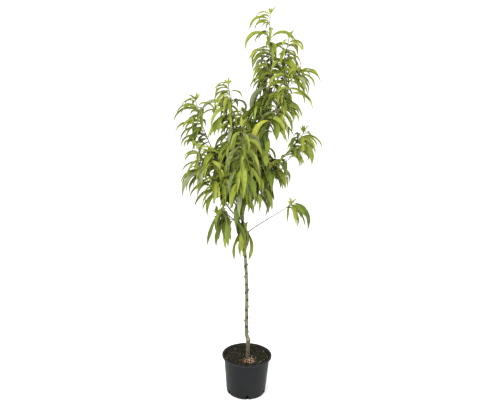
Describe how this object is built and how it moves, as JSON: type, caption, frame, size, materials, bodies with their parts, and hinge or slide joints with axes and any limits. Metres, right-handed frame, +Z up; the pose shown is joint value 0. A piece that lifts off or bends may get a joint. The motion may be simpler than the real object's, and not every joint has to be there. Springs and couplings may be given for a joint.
{
  "type": "dwarf peach tree in a nursery pot",
  "caption": "Young grafted dwarf peach tree with a bare stem and hanging masses of long leaves, standing in a round plastic nursery pot.",
  "frame": {"origin": "centre of the flat underside of the pot", "axes": "+Z up along the pot's axis, +X to the viewer's right, -Y towards the front of the tree"},
  "size_m": [0.6121, 0.4995, 1.7236],
  "materials": {
    "pot_plastic": "satin",
    "potting_soil": "matte",
    "bark": "matte",
    "mature_leaf": "satin",
    "young_leaf": "satin"
  },
  "bodies": {
    "root": {"bough_back_high": "bark", "bough_back_left": "bark", "bough_back_right": "bark", "bough_front": "bark", "bough_left_high": "bark", "bough_left_high_2": "bark", "bough_left_low": "bark", "bough_left_middle": "bark", "bough_right_low": "bark", "bough_right_middle": "bark", "bough_right_middle_2": "bark", "bough_right_upper": "bark", "bough_right_upper_2": "bark", "bough_right_upper_3": "bark", "bough_shoulder": "bark", "bough_upper_left": "bark", "bough_upper_left_2": "bark", "leader": "bark", "leader_2": "bark", "leaves_back_high": "mature_leaf", "leaves_back_left": "mature_leaf", "leaves_back_right": "mature_leaf", "leaves_front_high": "mature_leaf", "leaves_front_low": "mature_leaf", "leaves_leader": "mature_leaf", "leaves_leader_tip": "young_leaf", "leaves_left_high": "young_leaf", "leaves_left_low": "mature_leaf", "leaves_left_middle": "mature_leaf", "leaves_middle_left": "mature_leaf", "leaves_middle_right": "mature_leaf", "leaves_right_hanging": "mature_leaf", "leaves_right_inner": "mature_leaf", "leaves_right_low": "mature_leaf", "leaves_right_middle": "young_leaf", "leaves_right_under": "mature_leaf", "leaves_right_upper": "young_leaf", "leaves_shoulder": "young_leaf", "leaves_trunk_left": "mature_leaf", "leaves_trunk_right": "mature_leaf", "leaves_upper_centre": "mature_leaf", "leaves_upper_left": "young_leaf", "pot": "pot_plastic", "soil": "potting_soil", "trunk": "bark"}
  },
  "joints": []
}
